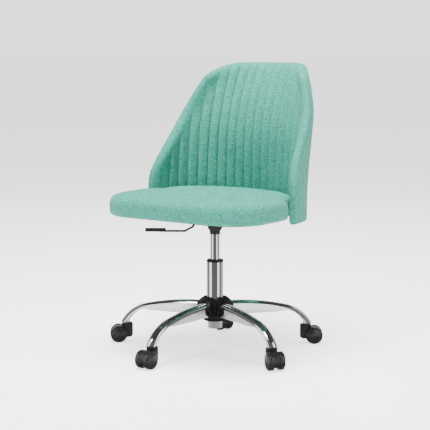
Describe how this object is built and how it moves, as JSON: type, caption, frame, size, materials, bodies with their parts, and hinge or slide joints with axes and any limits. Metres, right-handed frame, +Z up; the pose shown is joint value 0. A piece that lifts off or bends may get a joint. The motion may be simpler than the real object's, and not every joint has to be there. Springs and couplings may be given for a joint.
{
  "type": "swivel office chair",
  "caption": "Armless swivel office chair with a padded seat, a channel-tufted winged back, a gas lift with a height lever and an arched base on casters.",
  "frame": {"origin": "on the floor, on the gas lift's axis", "axes": "+Z up along the gas lift, -Y the way the sitter faces, +X the sitter's left"},
  "size_m": [0.661, 0.6617, 0.861],
  "materials": {
    "mint_fabric": "mint green linen-look weave",
    "chrome": "bright chrome plating",
    "steel": "plain zinc-plated steel",
    "black_plastic": "fine-grained black nylon",
    "wheel_plastic": "smooth black nylon",
    "black_paint": "black powder coat",
    "rubber": "plain",
    "plywood": "plain beech plywood",
    "dust_cloth": "thin black non-woven cloth"
  },
  "bodies": {
    "base": {"hub_sleeve": "steel", "leg_1": "chrome", "leg_2": "chrome", "leg_3": "chrome", "leg_4": "chrome", "leg_5": "chrome", "hub_cover": "black_plastic", "hub_ring": "black_plastic", "column_tube": "chrome", "guide_bush": "black_plastic", "bearing_race": "steel", "caster_stems": "steel"},
    "piston": {"piston_rod": "steel", "bearing_washer": "steel", "retaining_clip": "steel", "rubber_bumper": "rubber"},
    "seat": {"gas_cylinder": "chrome", "mechanism_socket": "black_paint", "mechanism_plate": "black_paint", "mechanism_bolts": "steel", "lever_pin": "steel", "seat_board": "plywood", "seat_cushion": "mint_fabric", "dust_cover": "dust_cloth", "back_shell": "plywood", "back_cushion": "mint_fabric", "back_cover": "mint_fabric", "back_strap_left": "black_paint", "back_strap_right": "black_paint", "strap_bolts": "steel"},
    "lever": {"lever_rod": "black_paint", "lever_grip": "black_plastic"},
    "valve_pin": {"valve_pin": "steel"},
    "caster_1": {"caster_housing_1": "black_plastic", "caster_axle_1": "steel"},
    "wheel_left_1": {"wheel_left_1": "wheel_plastic"},
    "wheel_right_1": {"wheel_right_1": "wheel_plastic"},
    "caster_2": {"caster_housing_2": "black_plastic", "caster_axle_2": "steel"},
    "wheel_left_2": {"wheel_left_2": "wheel_plastic"},
    "wheel_right_2": {"wheel_right_2": "wheel_plastic"},
    "caster_3": {"caster_housing_3": "black_plastic", "caster_axle_3": "steel"},
    "wheel_left_3": {"wheel_left_3": "wheel_plastic"},
    "wheel_right_3": {"wheel_right_3": "wheel_plastic"},
    "caster_4": {"caster_housing_4": "black_plastic", "caster_axle_4": "steel"},
    "wheel_left_4": {"wheel_left_4": "wheel_plastic"},
    "wheel_right_4": {"wheel_right_4": "wheel_plastic"},
    "caster_5": {"caster_housing_5": "black_plastic", "caster_axle_5": "steel"},
    "wheel_left_5": {"wheel_left_5": "wheel_plastic"},
    "wheel_right_5": {"wheel_right_5": "wheel_plastic"}
  },
  "joints": [
    {"name": "seat_swivel", "type": "hinge", "parent": "base", "child": "piston", "pos_m": [0, 0, 0.0747], "axis": [0, 0, 1], "continuous": true},
    {"name": "height_slide", "type": "slide", "parent": "piston", "child": "seat", "axis": [0, 0, 1], "range_m": [-0.075, 0]},
    {"name": "lever_pivot", "type": "hinge", "parent": "seat", "child": "lever", "pos_m": [-0.045, 0, 0.391], "axis": [0, 1, 0], "range_deg": [0, 4], "stiffness_Nm_per_rad": 2, "springref_deg": -5.73},
    {"name": "valve_pin_slide", "type": "slide", "parent": "seat", "child": "valve_pin", "axis": [0, 0, 1], "range_m": [-0.0032, 0]},
    {"name": "caster_swivel_1", "type": "hinge", "parent": "base", "child": "caster_1", "pos_m": [-0.01417, -0.28965, 0.07], "axis": [0, 0, 1], "continuous": true},
    {"name": "left_spin_1", "type": "hinge", "parent": "caster_1", "child": "wheel_left_1", "pos_m": [-0.01435, -0.31665, 0.0265], "axis": [1, -0.007, 0], "continuous": true},
    {"name": "right_spin_1", "type": "hinge", "parent": "caster_1", "child": "wheel_right_1", "pos_m": [-0.01435, -0.31665, 0.0265], "axis": [1, -0.007, 0], "continuous": true},
    {"name": "caster_swivel_2", "type": "hinge", "parent": "base", "child": "caster_2", "pos_m": [0.2711, -0.10298, 0.07], "axis": [0, 0, 1], "continuous": true},
    {"name": "left_spin_2", "type": "hinge", "parent": "caster_2", "child": "wheel_left_2", "pos_m": [0.29338, -0.11824, 0.0265], "axis": [0.565, 0.8251, 0], "continuous": true},
    {"name": "right_spin_2", "type": "hinge", "parent": "caster_2", "child": "wheel_right_2", "pos_m": [0.29338, -0.11824, 0.0265], "axis": [0.565, 0.8251, 0], "continuous": true},
    {"name": "caster_swivel_3", "type": "hinge", "parent": "base", "child": "caster_3", "pos_m": [0.18171, 0.22601, 0.07], "axis": [0, 0, 1], "continuous": true},
    {"name": "left_spin_3", "type": "hinge", "parent": "caster_3", "child": "wheel_left_3", "pos_m": [0.2042, 0.24095, 0.0265], "axis": [-0.5534, 0.8329, 0], "continuous": true},
    {"name": "right_spin_3", "type": "hinge", "parent": "caster_3", "child": "wheel_right_3", "pos_m": [0.2042, 0.24095, 0.0265], "axis": [-0.5534, 0.8329, 0], "continuous": true},
    {"name": "caster_swivel_4", "type": "hinge", "parent": "base", "child": "caster_4", "pos_m": [-0.15879, 0.24266, 0.07], "axis": [0, 0, 1], "continuous": true},
    {"name": "left_spin_4", "type": "hinge", "parent": "caster_4", "child": "wheel_left_4", "pos_m": [-0.13333, 0.23369, 0.0265], "axis": [0.3322, 0.9432, 0], "continuous": true},
    {"name": "right_spin_4", "type": "hinge", "parent": "caster_4", "child": "wheel_right_4", "pos_m": [-0.13333, 0.23369, 0.0265], "axis": [0.3322, 0.9432, 0], "continuous": true},
    {"name": "caster_swivel_5", "type": "hinge", "parent": "base", "child": "caster_5", "pos_m": [-0.27986, -0.07604, 0.07], "axis": [0, 0, 1], "continuous": true},
    {"name": "left_spin_5", "type": "hinge", "parent": "caster_5", "child": "wheel_left_5", "pos_m": [-0.30035, -0.09361, 0.0265], "axis": [0.6508, -0.7593, 0], "continuous": true},
    {"name": "right_spin_5", "type": "hinge", "parent": "caster_5", "child": "wheel_right_5", "pos_m": [-0.30035, -0.09361, 0.0265], "axis": [0.6508, -0.7593, 0], "continuous": true}
  ],
  "couplings": [
    {"joint": "valve_pin_slide", "follows": "lever_pivot", "m_per_rad": -0.045}
  ]
}
